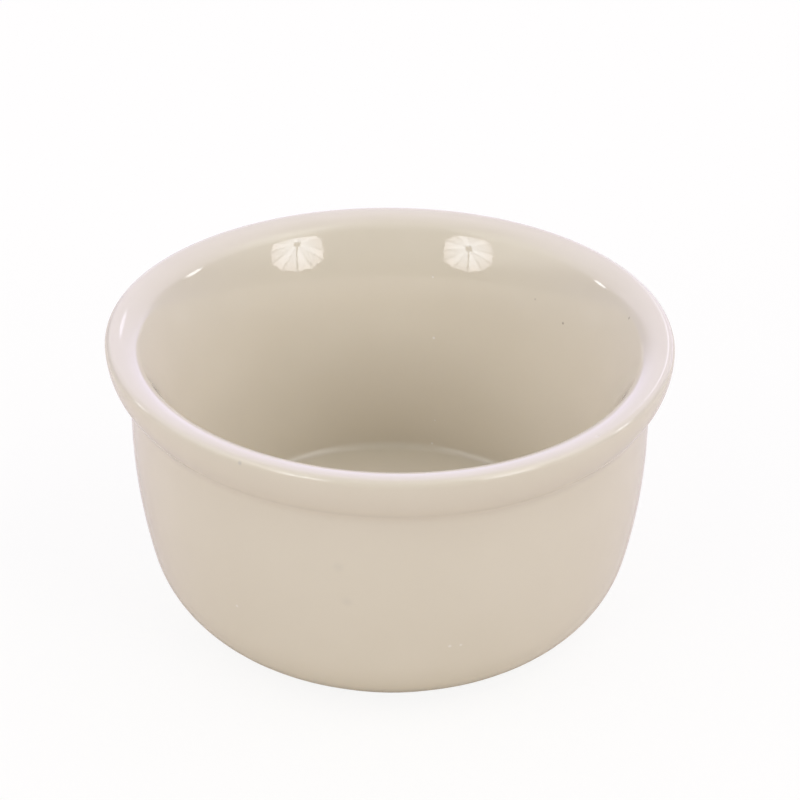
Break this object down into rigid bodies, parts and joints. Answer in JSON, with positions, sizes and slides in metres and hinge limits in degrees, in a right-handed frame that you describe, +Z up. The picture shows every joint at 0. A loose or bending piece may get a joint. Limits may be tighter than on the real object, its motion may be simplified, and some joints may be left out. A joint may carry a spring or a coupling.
{
  "type": "ramekin",
  "caption": "Small round baking dish with a rolled band round its rim, walls that taper inwards below it, a rounded base on a low bare foot ring, and cream glaze inside and out.",
  "frame": {"origin": "centre of the foot ring, on the plane that the dish rests on", "axes": "+Z up along the axis that the dish is turned about; every horizontal direction is alike"},
  "size_m": [0.108, 0.108, 0.059],
  "materials": {
    "stoneware": "fired, unglazed and slightly rough",
    "glaze": "clear gloss over warm cream"
  },
  "bodies": {
    "root": {"stoneware_body": "stoneware", "glaze_coat": "glaze", "foot_well_glaze": "glaze"}
  },
  "joints": []
}
